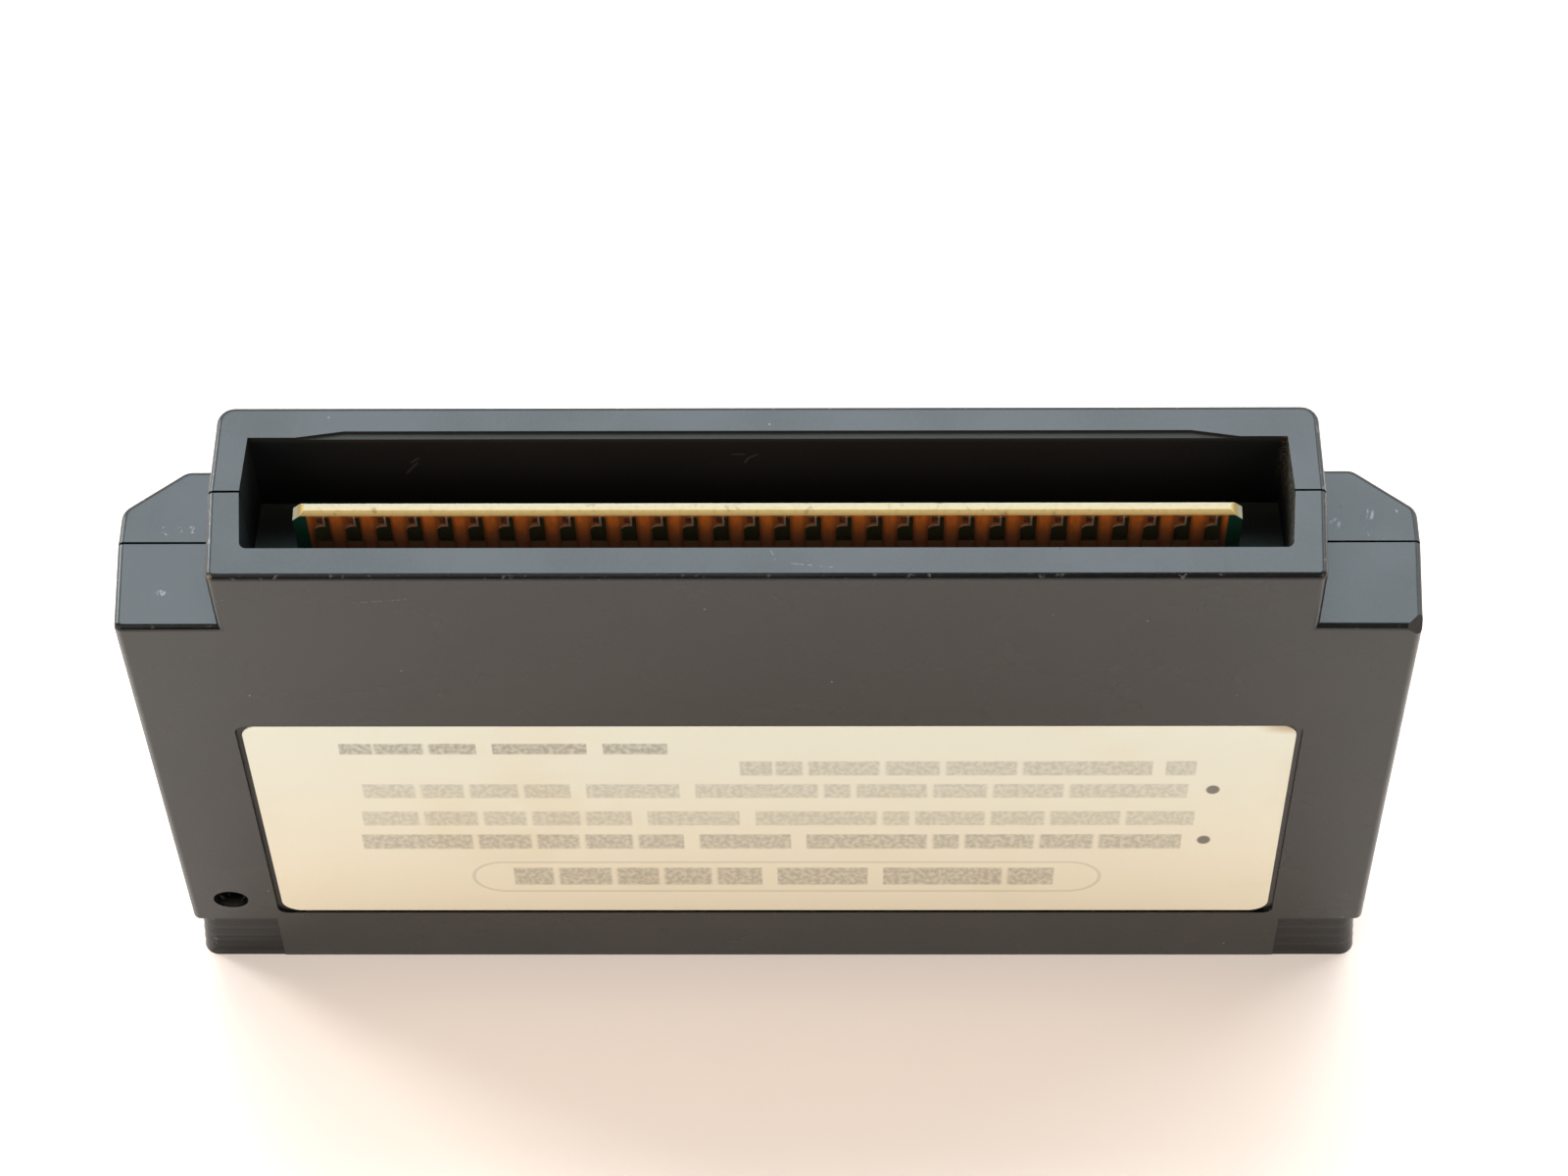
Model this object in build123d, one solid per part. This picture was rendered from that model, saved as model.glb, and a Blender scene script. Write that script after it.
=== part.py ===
from build123d import *

import os
from math import radians, tan

# A plug-in game cartridge, standing on its flat end with the edge connector up and the label side towards -Y.
# Two moulded halves snap together round a printed board. Millimetres, +Z up, origin on the floor under the middle.

# Outside of the case
body_width = 108.85  # at the parting plane, where the draft makes it widest
neck_width = 91.75  # the narrower end that plugs in, also at the parting plane
case_height = 70.0
shoulder_height = 61.8
rear_depth = 8.18  # label face to parting plane
front_depth = 8.42  # parting plane to the raised front field
field_rise = 1.15  # the front field stands this far above the sides
side_draft = 2.0  # degrees
bevel_width = 5.2  # the long bevels down the front corners
bevel_depth = 3.9
bevel_round = 1.5
neck_corner_round = 1.5
rear_corner_round = 0.7
edge_round = 0.55
foot_chamfer = 0.1
worn_corner = 1.6  # the rubbed corner of one shoulder

# Walls and the seam between the halves
wall = 2.0
seam_gap = 0.2  # the shadow line left open round the outside
seam_band = 1.0

# Connector opening
slot_width = 86.6  # at the parting plane
slot_draft = 4.0  # degrees
slot_rear_wall = 2.85
slot_front_wall = 3.1
slot_depth = 10.5
slot_corner_round = 0.6
lead_in_width = 78.0
lead_in_ramp = 4.0
lead_in_depth = 0.6
lead_in_drop = 0.3

# Finger grips at the lower corners
grip_width = 8.0
grip_height = 7.8
grip_corner_round = 1.4
ridge_count = 5
ridge_depth = 0.3  # from a ridge's lip to its root
top_lip_set_in = 0.55  # behind the faces of the body
foot_lip_set_in = 0.1

# Label, its recess, the bare recess on the front, and the small hole in the rear wall
label_width = 90.8
label_height = 35.55
label_thickness = 0.12
label_corner = 1.8
label_bottom = 9.15
label_shift = -0.2
recess_depth = 0.3
recess_corner = 1.0
recess_side_gap = 0.5
recess_end_gap = 0.2
front_recess_width = 80.0
front_recess_height = 46.0
front_recess_bottom = 8.0
hole_diameter = 3.2
hole_from_side = 4.2
hole_height = 11.7

# Printed board and its plated fingers
board_thickness = 1.2
board_width = 94.0
board_height = 42.0  # the wide part inside the body
board_clearance = 0.15
tongue_width = 78.4
tongue_below_rim = 2.4
tongue_corner = 1.0
tongue_bevel = 0.35
contact_count = 30
contact_pitch = 2.54
contact_width = 1.26
contact_thickness = 0.08
contact_inset = 0.5

# Memory packages on the board's front face
rom_length = 36.6
rom_width = 13.7
rom_height = 3.8
rom_standoff = 0.6
rom_side_draft = 0.35
rom_notch = 1.2
rom_spacing = 44.0
rom_rise = 0.5  # above the middle of the board's wide part
leads_per_row = 14
lead_pitch = 2.54
lead_row_gap = 15.24
lead_thickness = 0.25
lead_width = 1.2
lead_tip_width = 0.5
lead_tip_length = 0.9
lead_hole = 0.9  # across corners
hole_sides = 6

# Ceramic capacitors beside the memories
disc_diameter = 4.8
disc_thickness = 2.2
disc_standoff = 0.6
disc_drop = 16.0  # below the middle of the memories
wire_diameter = 0.5
wire_gap = 2.54

# Ribs and pins that hold the board, and the snap hooks
rib_thickness = 1.5
rib_inset = 3.0
post_diameter = 4.4
post_inset = 4.0
pin_diameter = 2.2
pin_clearance = 0.1
pin_reach = 2.0
hook_width = 6.0
hook_thickness = 1.2
hook_reach = 4.0
hook_root = 2.0
hook_clearance = 0.3
barb_reach = 0.9
barb_height = 2.0
barb_flat = 0.5
side_hook_heights = (22.0, 46.0)
foot_hook_offset = 25.0

# Places that follow from the sizes above
case_depth = rear_depth + front_depth
rear_y = -case_depth / 2
front_y = case_depth / 2
parting_y = rear_y + rear_depth
side_front_y = front_y - field_rise
body_half = body_width / 2
neck_half = neck_width / 2
slot_floor = case_height - slot_depth
cavity_top = slot_floor - wall
inner_side = body_half - wall
inner_rear_y = rear_y + wall
inner_front_y = front_y - wall
slot_rear_y = rear_y + slot_rear_wall
slot_front_y = front_y - slot_front_wall
board_middle_y = (slot_rear_y + slot_front_y) / 2
board_rear_y = board_middle_y - board_thickness / 2
board_front_y = board_middle_y + board_thickness / 2
tongue_top = case_height - tongue_below_rim
board_top = cavity_top - board_clearance
board_bottom = board_top - board_height
rom_z = (board_top + board_bottom) / 2 + rom_rise
rib_heights = (board_bottom + rib_inset, board_top - rib_inset)
post_places = [(side * (board_width / 2 - post_inset), rib_heights[1]) for side in (-1, 1)]


def drafted(half_width, distance, draft):
    """A half width after the wall has leaned in over a distance from the parting plane."""
    return half_width - distance * tan(radians(draft))


def plan_section(right_side):
    """A closed section seen from above, from the points of its right side, rear to front."""
    left_side = [(-x, y) for x, y in reversed(right_side)]
    return make_face(Polyline(*right_side, *left_side, close=True))


def rounded_section(section, rounds):
    """The same section with a round at each (distance from the middle, y) corner and its mirror."""
    same_place = 1e-6
    for corner_x, corner_y, radius in rounds:
        corners = [
            v for v in section.vertices()
            if abs(abs(v.X) - corner_x) < same_place and abs(v.Y - corner_y) < same_place
        ]
        section = fillet(corners, radius)
    return section


def column(section, low, high):
    """A section seen from above, pulled up between two heights."""
    return Pos(0, 0, low) * extrude(section, amount=high - low, dir=(0, 0, 1))


def plate(sketch, y_rear, y_front):
    """A sketch seen from the rear (X right, Z up) given its thickness between two depths."""
    return extrude(Plane.XZ.offset(-y_front) * sketch, amount=y_front - y_rear)


def rod(diameter, x, z, y_rear, y_front):
    """A round rod through the thickness of the case."""
    return plate(Pos(x, z) * Circle(diameter / 2), y_rear, y_front)


def block(x_range, y_range, z_range):
    """A box between two values on each axis."""
    spans = (x_range, y_range, z_range)
    size = [high - low for low, high in spans]
    middle = [(high + low) / 2 for low, high in spans]
    return Pos(*middle) * Box(*size)


# Sections of the case seen from above
bevel_y = side_front_y - bevel_depth
bevel_x = drafted(body_half, bevel_y - parting_y, side_draft)
body_rear_half = drafted(body_half, rear_depth, side_draft)
neck_rear_half = drafted(neck_half, rear_depth, side_draft)
neck_front_half = drafted(neck_half, front_depth, side_draft)
sharp_body = plan_section([
    (body_rear_half, rear_y),
    (body_half, parting_y),
    (bevel_x, bevel_y),
    (bevel_x - bevel_width, side_front_y),
])
sharp_neck = plan_section([
    (neck_rear_half, rear_y),
    (neck_half, parting_y),
    (neck_front_half, front_y),
])
body_section = rounded_section(sharp_body, [
    (body_rear_half, rear_y, rear_corner_round),
    (bevel_x, bevel_y, bevel_round),
    (bevel_x - bevel_width, side_front_y, bevel_round),
])
neck_section = rounded_section(sharp_neck, [
    (neck_rear_half, rear_y, rear_corner_round),
    (neck_front_half, front_y, neck_corner_round),
])


def rounded_column(section, height):
    """A column that stands on the floor, with its upper edges rounded and its lower edges bevelled."""
    solid = column(section, 0, height)
    solid = fillet(solid.faces().sort_by(Axis.Z)[-1].outer_wire().edges(), edge_round)
    return chamfer(solid.faces().sort_by(Axis.Z)[0].outer_wire().edges(), foot_chamfer)


def closed_case():
    """Both halves as one closed block: the broad body, and the neck that runs down its front as a raised field."""
    return rounded_column(body_section, shoulder_height) + rounded_column(neck_section, case_height)


def worn_shoulder_cut():
    """What is rubbed off the right shoulder's rear corner, down to a small flat."""
    flat = Plane(origin=(body_rear_half - worn_corner, rear_y, shoulder_height), z_dir=(1, -1, 1))
    size = 4 * worn_corner
    return flat * Pos(0, 0, size / 2) * Box(size, size, size)


def main_cavity():
    """The closed space round the board, which follows the outside at one wall's distance."""
    sides = column(offset(sharp_body, -wall, kind=Kind.INTERSECTION), wall, cavity_top)
    field_half = neck_front_half - wall
    field = block((-field_half, field_half), (parting_y, inner_front_y), (wall, cavity_top))
    return sides + field


def connector_slot():
    """The opening that the console's connector enters, with its drafted ends."""
    slot_half = slot_width / 2
    rear_half = drafted(slot_half, parting_y - slot_rear_y, slot_draft)
    front_half = drafted(slot_half, slot_front_y - parting_y, slot_draft)
    section = plan_section([
        (rear_half, slot_rear_y),
        (slot_half, parting_y),
        (front_half, slot_front_y),
    ])
    section = rounded_section(section, [(rear_half, slot_rear_y, slot_corner_round)])
    lead_in_half = lead_in_width / 2
    lead_in = plan_section([
        (lead_in_half, slot_front_y),
        (lead_in_half - lead_in_ramp, slot_front_y + lead_in_depth),
    ])
    slot = column(section, slot_floor, case_height)
    return slot + column(lead_in, case_height - lead_in_drop, case_height)


def board_passage():
    """The slit in the floor of the opening that the board's tongue comes through."""
    half = tongue_width / 2 + board_clearance
    return block(
        (-half, half),
        (board_rear_y - board_clearance, board_front_y + board_clearance),
        (cavity_top, slot_floor),
    )


def grip_section(height, set_in):
    """The body's section at a height in the grips, set in and rounded at its rear corners."""
    section = offset(sharp_body, -set_in, kind=Kind.INTERSECTION)
    section = fillet(section.vertices().group_by(Axis.Y)[0], grip_corner_round)
    return Pos(0, 0, height) * section


def grip_cuts():
    """What is cut from both lower corners, down to ridges that each lean out to a lip at their foot."""
    pitch = grip_height / ridge_count
    lip_step = (top_lip_set_in - foot_lip_set_in) / (ridge_count - 1)
    cuts = []
    for number in range(ridge_count):
        low = number * pitch
        high = low + pitch
        lip_set_in = foot_lip_set_in + number * lip_step
        ridge = loft([grip_section(low, lip_set_in), grip_section(high, lip_set_in + ridge_depth)], ruled=True)
        for side in (-1, 1):
            reach = sorted((side * (body_half - grip_width), side * body_width))
            cuts.append(block(reach, (2 * rear_y, 2 * front_y), (low, high)) - ridge)
    return cuts


def recess(width, height, bottom, shift, y_rear, y_front):
    """A shallow rounded recess for a label."""
    return plate(Pos(shift, bottom + height / 2) * RectangleRounded(width, height, recess_corner), y_rear, y_front)


def outside_cuts():
    """What the mould leaves out of the outer faces."""
    rear_recess = recess(
        label_width + 2 * recess_side_gap, label_height + 2 * recess_end_gap, label_bottom - recess_end_gap,
        label_shift, rear_y, rear_y + recess_depth,
    )
    front_recess = recess(
        front_recess_width, front_recess_height, front_recess_bottom, 0, front_y - recess_depth, front_y,
    )
    hole = rod(hole_diameter, hole_from_side - body_half, hole_height, rear_y, inner_rear_y)
    return [rear_recess, front_recess, hole, worn_shoulder_cut(), *grip_cuts()]


def seam_relief():
    """The narrow band round the front half's joint face that leaves the shadow line open."""
    body_half_inset = body_half - seam_band
    neck_half_inset = neck_half - seam_band
    outside = block((-body_width, body_width), (parting_y, parting_y + seam_gap),
                    (-seam_band, case_height + seam_band))
    body = block((-body_half_inset, body_half_inset), (parting_y, parting_y + seam_gap),
                 (seam_band, shoulder_height - seam_band))
    neck = block((-neck_half_inset, neck_half_inset), (parting_y, parting_y + seam_gap),
                 (seam_band, case_height - seam_band))
    return outside - body - neck


def hook():
    """A snap hook beside a wall whose inner face is X = 0: a root, a springy arm and an outward barb."""
    arm_out = -hook_clearance
    arm_in = arm_out - hook_thickness
    barb_out = arm_out + barb_reach
    tip_y = parting_y - hook_reach
    catch_y = tip_y + barb_height
    root_y = parting_y + hook_root
    profile = make_face(Polyline(
        (arm_in, tip_y),
        (arm_out, tip_y),
        (barb_out, catch_y - barb_flat),
        (barb_out, catch_y),
        (arm_out, catch_y),
        (arm_out, root_y - hook_thickness),
        (wall / 2, root_y - hook_thickness),
        (wall / 2, root_y),
        (arm_in, root_y),
        close=True,
    ))
    return column(profile, -hook_width / 2, hook_width / 2)


def hook_pocket():
    """The pocket in that wall, on the other half, that the barb springs into."""
    tip_y = parting_y - hook_reach
    half_width = hook_width / 2 + hook_clearance
    return block(
        (-wall / 2, barb_reach),
        (tip_y - hook_clearance, tip_y + barb_height),
        (-half_width, half_width),
    )


def at_hook_places(shape):
    """Copies of a hook or pocket: along both sides and along the flat end."""
    placed = []
    for height in side_hook_heights:
        right = Pos(inner_side, 0, height) * shape
        placed += [right, mirror(right, Plane.YZ)]
    for x in (-foot_hook_offset, foot_hook_offset):
        placed.append(Pos(x, 0, wall) * Rot(0, 90, 0) * shape)
    return placed


def board_ribs(y_rear, y_front):
    """Two level ribs, one above and one below the memories, that the board lies between."""
    half = board_width / 2
    return [
        block((-half, half), (y_rear, y_front), (z - rib_thickness / 2, z + rib_thickness / 2))
        for z in rib_heights
    ]


def locating_pins():
    """Posts on the rear half's upper rib, with the pins that go through the board."""
    pins = []
    for x, z in post_places:
        pins.append(rod(post_diameter, x, z, inner_rear_y, board_rear_y))
        pins.append(rod(pin_diameter, x, z, board_rear_y, board_front_y + pin_reach))
    return pins


def pin_bores(diameter, y_rear, y_front):
    """Round bars at the places of the pins."""
    return [rod(diameter, x, z, y_rear, y_front) for x, z in post_places]


def case_halves():
    """The rear and the front half of the moulded case."""
    case = closed_case() - main_cavity() - connector_slot() - board_passage() - outside_cuts()
    joint = Plane.XZ.offset(-parting_y)
    rear = split(case, bisect_by=joint, keep=Keep.TOP)
    front = split(case, bisect_by=joint, keep=Keep.BOTTOM)
    rear = rear - at_hook_places(hook_pocket()) + board_ribs(inner_rear_y, board_rear_y) + locating_pins()
    front = front - seam_relief() + board_ribs(board_front_y, inner_front_y) + at_hook_places(hook())
    front = front + pin_bores(post_diameter, board_front_y, inner_front_y)
    bore_end = board_front_y + pin_reach + pin_clearance
    front = front - pin_bores(pin_diameter + 2 * pin_clearance, board_front_y, bore_end)
    return rear, front


def rear_label():
    """The paper sticker, on the floor of its recess."""
    outline = Pos(label_shift, label_bottom + label_height / 2) * RectangleRounded(
        label_width, label_height, label_corner
    )
    floor_y = rear_y + recess_depth
    return plate(outline, floor_y - label_thickness, floor_y)


def lead_places():
    """Each memory lead's place along its row, from the middle of the package."""
    first = -lead_pitch * (leads_per_row - 1) / 2
    return [first + lead_pitch * number for number in range(leads_per_row)]


def lead_bar(across, x, z, y_rear, y_front):
    """A thin six-sided bar through the thickness of the board."""
    return plate(Pos(x, z) * RegularPolygon(across / 2, hole_sides), y_rear, y_front)


def circuit_board():
    """The board: a wide part inside the body, and the bevelled tongue that plugs in."""
    wide = Pos(0, (board_bottom + board_top) / 2) * Rectangle(board_width, board_height)
    tongue_middle = (tongue_top + board_bottom) / 2
    tongue = Pos(0, tongue_middle) * Rectangle(tongue_width, tongue_top - board_bottom)
    tongue = chamfer(tongue.vertices().group_by(Axis.Y)[-1], tongue_corner)
    board = plate(wide + tongue, board_rear_y, board_front_y)
    tip_edges = board.faces().sort_by(Axis.Z)[-1].edges().filter_by(Axis.X)
    board = chamfer(tip_edges, tongue_bevel)
    holes = pin_bores(pin_diameter + 2 * pin_clearance, board_rear_y, board_front_y)
    for side in (-1, 1):
        middle = side * rom_spacing / 2
        rows = [rom_z - lead_row_gap / 2, rom_z + lead_row_gap / 2]
        places = [(middle + along, z) for along in lead_places() for z in rows]
        places += [(middle + wire * wire_gap / 2, rom_z - disc_drop) for wire in (-1, 1)]
        holes += [lead_bar(lead_hole, x, z, board_rear_y, board_front_y) for x, z in places]
    return board - holes


def contacts(y_rear, y_front):
    """The row of plated fingers on one face of the tongue."""
    top = tongue_top - contact_inset
    bottom = slot_floor + contact_inset
    first = -contact_pitch * (contact_count - 1) / 2
    finger = Rectangle(contact_width, top - bottom)
    return [
        plate(Pos(first + contact_pitch * number, (top + bottom) / 2) * finger, y_rear, y_front)
        for number in range(contact_count)
    ]


def memory_package(middle):
    """A dual in-line package body, drafted from its lead plane, with the notch at its first-pin end."""
    foot = board_front_y + rom_standoff
    half_width = rom_width / 2
    face_half = half_width - rom_side_draft
    lead_plane = foot + rom_height / 2
    profile = make_face(Polyline(
        (foot, -face_half),
        (lead_plane, -half_width),
        (foot + rom_height, -face_half),
        (foot + rom_height, face_half),
        (lead_plane, half_width),
        (foot, face_half),
        close=True,
    ))
    body = extrude(Plane.YZ * profile, amount=rom_length / 2, both=True)
    notch = rod(2 * rom_notch, -rom_length / 2, 0, foot + rom_height / 2, foot + rom_height)
    return Pos(middle, 0, rom_z) * (body - notch)


def memory_leads(middle):
    """The two rows of bent leads that stand the package on the board and go through it."""
    foot = board_front_y + rom_standoff
    lead_y = foot + rom_height / 2
    row_z = lead_row_gap / 2
    half_wide = lead_width / 2
    half_tip = lead_tip_width / 2
    half_thick = lead_thickness / 2
    arm = block((-half_wide, half_wide), (lead_y - half_thick, lead_y + half_thick),
                (rom_width / 2, row_z + half_thick))
    leg = block((-half_wide, half_wide), (foot, lead_y), (row_z - half_thick, row_z + half_thick))
    tip = block((-half_tip, half_tip), (board_rear_y - lead_tip_length, foot),
                (row_z - half_thick, row_z + half_thick))
    upper = arm + leg + tip - memory_package(0).moved(Pos(0, 0, -rom_z))
    lower = mirror(upper, Plane.XY)
    return [
        Pos(middle + along, 0, rom_z) * lead
        for lead in (lower, upper)
        for along in lead_places()
    ]


def disc_capacitor(middle):
    """A ceramic disc standing on its edge over the board."""
    disc = Cylinder(disc_diameter / 2, disc_thickness)
    return Pos(middle, board_front_y + disc_standoff + disc_diameter / 2, rom_z - disc_drop) * disc


def capacitor_wires(middle):
    """The capacitor's two wires, from the disc through the board."""
    disc = disc_capacitor(middle)
    wires = []
    for side in (-1, 1):
        wire = lead_bar(
            wire_diameter, middle + side * wire_gap / 2, rom_z - disc_drop,
            board_rear_y - lead_tip_length, board_front_y + disc_standoff + disc_diameter / 2,
        )
        wires.append(wire - disc)
    return wires


def write(name, shape):
    """One file for one node, which may hold a group of separate solids."""
    if isinstance(shape, list):
        shape = Compound(children=shape)
    shape.label = name
    export_step(shape, os.path.join("parts", name + ".step"))


os.makedirs("parts", exist_ok=True)
rear_half, front_half = case_halves()
write("rear_shell", rear_half)
write("front_shell", front_half)
write("rear_label", rear_label())
write("circuit_board", circuit_board())
write("rear_contacts", contacts(board_rear_y - contact_thickness, board_rear_y))
write("front_contacts", contacts(board_front_y, board_front_y + contact_thickness))
for memory, side in (("program", -1), ("character", 1)):
    place = side * rom_spacing / 2
    write(memory + "_rom", memory_package(place))
    write(memory + "_rom_leads", memory_leads(place))
    write(memory + "_capacitor", disc_capacitor(place))
    write(memory + "_capacitor_leads", capacitor_wires(place))
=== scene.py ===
# %% [markdown]
# # A plug-in game cartridge
# The cartridge stands on its flat end, with the open neck and the edge connector up.
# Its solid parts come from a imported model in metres, which stays fixed. Blender gives each surface
# its finish, and adds the one shape that is too fine for the solids: the true outline of the plated
# fingers.

# %% Load the frame
import math

import bmesh
import bpy
from mathutils import Matrix, Vector


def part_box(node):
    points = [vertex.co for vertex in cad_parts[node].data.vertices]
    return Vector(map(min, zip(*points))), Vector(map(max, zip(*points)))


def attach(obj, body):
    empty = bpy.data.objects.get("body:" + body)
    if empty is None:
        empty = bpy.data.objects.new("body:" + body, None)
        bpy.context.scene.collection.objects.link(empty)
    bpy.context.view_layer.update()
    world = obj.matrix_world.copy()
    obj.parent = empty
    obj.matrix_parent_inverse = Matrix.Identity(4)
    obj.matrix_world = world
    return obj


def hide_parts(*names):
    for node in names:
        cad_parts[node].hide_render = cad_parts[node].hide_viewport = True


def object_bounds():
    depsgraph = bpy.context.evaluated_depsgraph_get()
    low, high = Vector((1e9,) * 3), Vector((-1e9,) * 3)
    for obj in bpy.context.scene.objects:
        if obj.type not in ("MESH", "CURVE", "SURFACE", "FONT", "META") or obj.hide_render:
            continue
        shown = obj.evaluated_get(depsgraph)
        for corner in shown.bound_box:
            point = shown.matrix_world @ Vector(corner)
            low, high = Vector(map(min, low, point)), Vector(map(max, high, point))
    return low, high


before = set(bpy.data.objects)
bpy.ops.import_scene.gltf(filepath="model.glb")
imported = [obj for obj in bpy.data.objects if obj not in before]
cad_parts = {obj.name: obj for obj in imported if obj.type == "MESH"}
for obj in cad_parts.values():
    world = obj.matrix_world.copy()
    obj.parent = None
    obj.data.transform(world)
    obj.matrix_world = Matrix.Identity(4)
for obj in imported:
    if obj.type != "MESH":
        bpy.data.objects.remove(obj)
cad_low, cad_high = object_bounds()
mm = 0.001


def in_mm(lengths):
    """Lengths in metres as rounded millimetres, to print."""
    return [round(length / mm, 2) for length in lengths]


print("frame:", len(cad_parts), "nodes, box", in_mm(cad_high - cad_low), "mm")

# %% [markdown]
# ## Camera
# The photograph looks steeply down, from the label side, into the neck, so the case narrows towards
# its foot. The place, the three angles and the lens are those of a pinhole camera that was fitted to
# the cartridge's own edges.

# %% Camera
camera_place = Vector((7.138, -197.414, 391.237)) * mm
look_down = math.radians(59.630)
turn = math.radians(-1.709)
tilt = math.radians(-1.544)
lens_length = 105.647
nearest_seen = 0.01

level_right = Vector((math.cos(turn), -math.sin(turn), 0))
forward = Vector((
    math.sin(turn) * math.cos(look_down),
    math.cos(turn) * math.cos(look_down),
    -math.sin(look_down),
))
level_up = level_right.cross(forward)
right = level_right * math.cos(tilt) + level_up * math.sin(tilt)
up = level_up * math.cos(tilt) - level_right * math.sin(tilt)
camera_turn = Matrix((right, up, -forward)).transposed().to_4x4()

camera_data = bpy.data.cameras.new("photo_camera")
camera_data.lens = lens_length
camera_data.clip_start = nearest_seen
camera = bpy.data.objects.new("photo_camera", camera_data)
camera.matrix_world = Matrix.Translation(camera_place) @ camera_turn
bpy.context.scene.collection.objects.link(camera)
bpy.context.scene.camera = camera
bpy.context.scene.view_settings.view_transform = "Standard"
print("camera at", in_mm(camera_place), "mm")

# %% [markdown]
# ## Node helper
# Every finish below is a procedural material. A small class keeps the node code short: most of its
# methods add a node or a few, and hand back the socket that carries the result, so that finishes
# read like sums.

# %% Node helper
mix_inputs = (6, 7)  # the sockets of a Mix node that take two colours
mix_output = 2  # and the one that gives the mixed colour


class Finish:
    """A procedural material, put together node by node. Places and sizes are in millimetres."""

    def __init__(self, name, roughness=0.5, metallic=0.0):
        self.material = bpy.data.materials.new(name)
        self.material.use_nodes = True
        self.tree = self.material.node_tree
        self.shader = self.tree.nodes["Principled BSDF"]
        self.shader.inputs["Roughness"].default_value = roughness
        self.shader.inputs["Metallic"].default_value = metallic
        self.place = self.vector("SCALE", self.add("ShaderNodeTexCoord").outputs["Object"], 1 / mm)
        split = self.add("ShaderNodeSeparateXYZ")
        self.feed(split.inputs[0], self.place)
        self.x, self.y, self.z = split.outputs

    def add(self, kind, **settings):
        """A new node with these settings."""
        node = self.tree.nodes.new(kind)
        for setting, value in settings.items():
            setattr(node, setting, value)
        return node

    def feed(self, socket, value):
        """Sets a socket to a fixed value, or links another socket to it."""
        if isinstance(value, bpy.types.NodeSocket):
            self.tree.links.new(value, socket)
        else:
            socket.default_value = value

    def set(self, name, value):
        """Sets or links one input of the shader."""
        self.feed(self.shader.inputs[name], value)

    def math(self, operation, *values):
        """One step of arithmetic."""
        node = self.add("ShaderNodeMath", operation=operation)
        for socket, value in zip(node.inputs, values):
            self.feed(socket, value)
        return node.outputs[0]

    def chain(self, operation, values):
        """The same step of arithmetic from each value to the next."""
        result = values[0]
        for value in values[1:]:
            result = self.math(operation, result, value)
        return result

    def times(self, *values):
        """The product of several values."""
        return self.chain("MULTIPLY", values)

    def plus(self, *values):
        """The sum of several values."""
        return self.chain("ADD", values)

    def join(self, masks):
        """The strongest of several masks."""
        return self.chain("MAXIMUM", masks)

    def minus(self, first, second):
        """What is left of the first value without the second."""
        return self.math("SUBTRACT", first, second)

    def gap(self, first, second):
        """How far apart two values are."""
        return self.math("ABSOLUTE", self.minus(first, second))

    def across(self):
        """How far a place is from the middle of the cartridge's width, on either side."""
        return self.math("ABSOLUTE", self.x)

    def vector(self, operation, first, second):
        """One step with two vectors, or with a vector and a number that scales it."""
        node = self.add("ShaderNodeVectorMath", operation=operation)
        self.feed(node.inputs[0], first)
        self.feed(node.inputs["Scale" if operation == "SCALE" else 1], second)
        return node.outputs["Value" if operation in ("DOT_PRODUCT", "DISTANCE") else "Vector"]

    def ramp(self, value, low, high, start=0.0, end=1.0):
        """Eases from start to end while the value goes from low to high."""
        node = self.add("ShaderNodeMapRange", interpolation_type="SMOOTHSTEP")
        names = ("Value", "From Min", "From Max", "To Min", "To Max")
        for name, given in zip(names, (value, low, high, start, end)):
            self.feed(node.inputs[name], given)
        return node.outputs[0]

    def fall(self, value, low, high):
        """Eases from 1 to 0 while the value goes from low to high."""
        return self.ramp(value, low, high, 1.0, 0.0)

    def noise(self, size, detail=2.0, stretch=(1, 1, 1), shift=(0, 0, 0)):
        """Cloudy noise with blobs of about this size."""
        mapping = self.add("ShaderNodeMapping")
        mapping.inputs["Location"].default_value = shift
        mapping.inputs["Scale"].default_value = stretch
        self.feed(mapping.inputs["Vector"], self.place)
        node = self.add("ShaderNodeTexNoise")
        node.inputs["Scale"].default_value = 1 / size
        node.inputs["Detail"].default_value = detail
        self.feed(node.inputs["Vector"], mapping.outputs[0])
        return node.outputs["Fac"]

    def specks(self, spacing, radius, share):
        """Scattered round dots: one try in each cell of this spacing, of which a share is kept."""
        core = 0.6  # the part of the radius inside the soft rim
        node = self.add("ShaderNodeTexVoronoi")
        node.inputs["Scale"].default_value = 1 / spacing
        self.feed(node.inputs["Vector"], self.place)
        near = self.fall(node.outputs["Distance"], core * radius / spacing, radius / spacing)
        lottery = self.add("ShaderNodeSeparateColor")
        self.feed(lottery.inputs[0], node.outputs["Color"])
        return self.times(near, self.math("LESS_THAN", lottery.outputs[0], share))

    def patch(self, centre, size):
        """A soft spot round a place: 1 in its middle, and 0 at these distances along the axes."""
        share = self.vector("DIVIDE", self.vector("SUBTRACT", self.place, centre), size)
        return self.fall(self.vector("DISTANCE", share, (0, 0, 0)), 0.0, 1.0)

    def stroke(self, start, end, width):
        """A thin straight mark between two places: 1 along its middle, and 0 at its sides."""
        along = Vector(end) - Vector(start)
        offset = self.vector("SUBTRACT", self.place, start)
        reach = self.math("DIVIDE", self.vector("DOT_PRODUCT", offset, along), along.length_squared)
        reach = self.math("MINIMUM", self.math("MAXIMUM", reach, 0.0), 1.0)
        distance = self.vector("DISTANCE", offset, self.vector("SCALE", along, reach))
        return self.fall(distance, 0.0, width / 2)

    def band(self, value, middle, half_width, edge):
        """1 where the value lies within half a width of the middle, with a soft edge."""
        return self.fall(self.gap(value, middle), half_width - edge, half_width + edge)

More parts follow.
